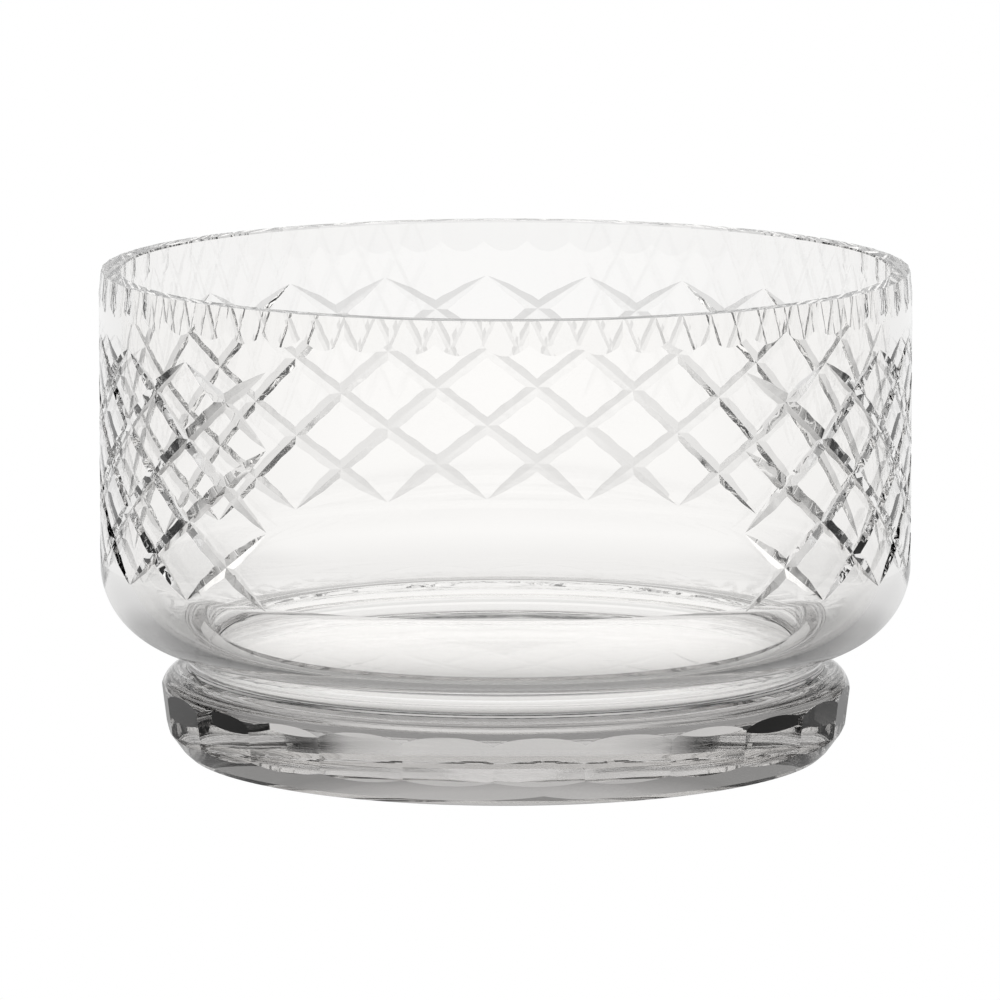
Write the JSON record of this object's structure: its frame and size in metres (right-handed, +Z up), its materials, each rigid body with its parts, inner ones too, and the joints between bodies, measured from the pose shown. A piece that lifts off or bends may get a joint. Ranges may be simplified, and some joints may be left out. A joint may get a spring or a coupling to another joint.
{
  "type": "punch bowl",
  "caption": "Clear cut-crystal punch bowl: a straight-sided bowl with a fluted rim and rounded lower corner, bonded to a thick round foot with flats cut round its side.",
  "frame": {"origin": "centre of the foot's underside, on the table plane", "axes": "+Z up along the bowl's axis of revolution, -Y towards the front, +X to the right"},
  "size_m": [0.25, 0.25, 0.15],
  "materials": {
    "bowl_crystal": "polished",
    "bond_seam": "satin",
    "foot_crystal": "polished"
  },
  "bodies": {
    "root": {"bowl": "bowl_crystal", "bond": "bond_seam", "foot": "foot_crystal"}
  },
  "joints": []
}
